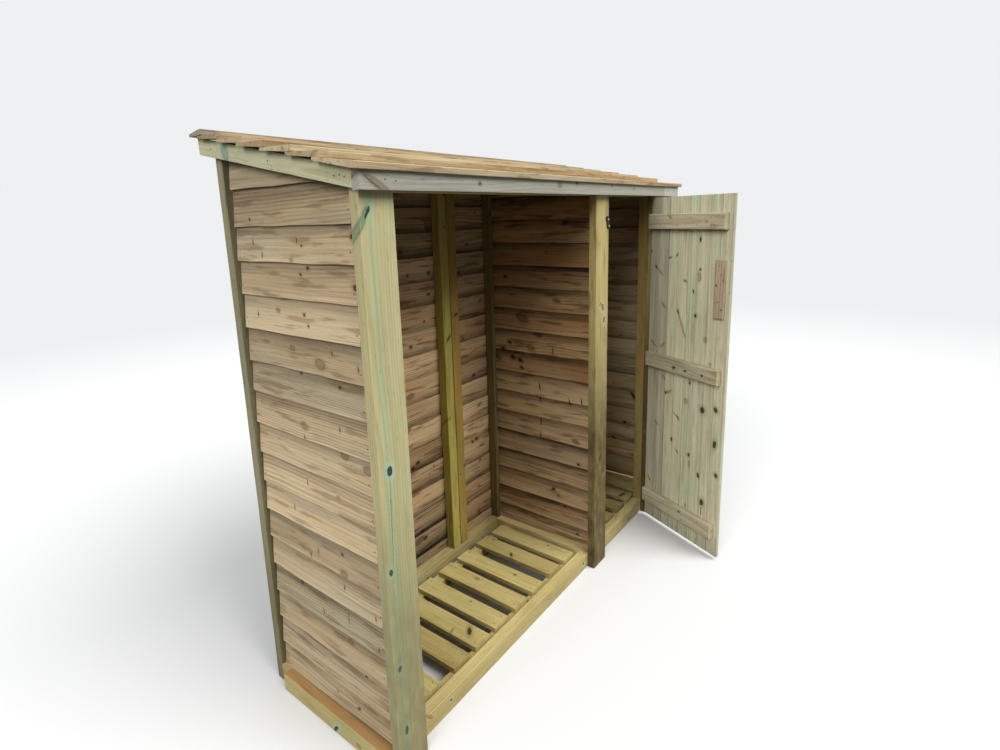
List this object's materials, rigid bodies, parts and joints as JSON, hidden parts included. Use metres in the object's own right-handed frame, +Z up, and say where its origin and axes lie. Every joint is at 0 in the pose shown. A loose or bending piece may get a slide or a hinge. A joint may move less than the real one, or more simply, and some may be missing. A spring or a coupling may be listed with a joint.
{
  "type": "log store",
  "caption": "Open timber log store with lapped walls, slatted floor, pent board roof and a narrow tool cupboard behind a ledged door.",
  "frame": {"origin": "middle of the bounding box at ground level, with the door standing open as in the picture", "axes": "+X to the right along the front, +Y to the back, +Z up"},
  "size_m": [1.868, 1.0018, 1.6493],
  "materials": {
    "post_timber": "rough sawn, pressure treated",
    "rail_timber": "rough sawn, pressure treated",
    "batten_timber": "rough sawn, pressure treated",
    "wall_board": "rough sawn, pressure treated",
    "floor_slat": "rough sawn, pressure treated",
    "trim_board": "rough sawn, pressure treated",
    "roof_board": "rough sawn, pressure treated",
    "door_board": "rough sawn, pressure treated",
    "black_iron": "black powder coat"
  },
  "bodies": {
    "frame": {"back_wall_left": "wall_board", "back_wall_right": "wall_board", "cupboard_floor_slats": "floor_slat", "division_base_rail": "rail_timber", "division_corner_batten": "batten_timber", "division_wall": "wall_board", "door_post": "post_timber", "fascia_end_piece": "trim_board", "front_base_rail": "rail_timber", "front_battens": "batten_timber", "front_fascia": "trim_board", "front_floor_bearers": "floor_slat", "front_left_post": "post_timber", "front_middle_post": "post_timber", "front_right_post": "post_timber", "front_top_rail": "rail_timber", "hinge_post_leaves": "black_iron", "latch_keep": "black_iron", "left_barge": "trim_board", "left_base_rail": "rail_timber", "left_wall": "wall_board", "main_floor_slats": "floor_slat", "middle_back_battens": "batten_timber", "rear_base_rail": "rail_timber", "rear_battens": "batten_timber", "rear_floor_bearers": "floor_slat", "rear_left_post": "post_timber", "rear_right_post": "post_timber", "rear_top_rail": "rail_timber", "right_barge": "trim_board", "right_base_rail": "rail_timber", "right_wall": "wall_board", "roof_board_1": "roof_board", "roof_board_2": "roof_board", "roof_board_3": "roof_board", "roof_board_4": "roof_board", "roof_board_5": "roof_board", "roof_board_6": "roof_board", "roof_board_7": "roof_board"},
    "door": {"door_boards": "door_board", "door_bottom_ledge": "door_board", "door_middle_ledge": "door_board", "door_top_ledge": "door_board", "door_latch_pad": "door_board", "hinge_straps": "black_iron"}
  },
  "joints": [
    {"name": "door_hinge", "type": "hinge", "parent": "frame", "child": "door", "pos_m": [0.693, -0.12213, 0.7], "axis": [0, 0, 1], "range_deg": [-64.5, 100]}
  ]
}
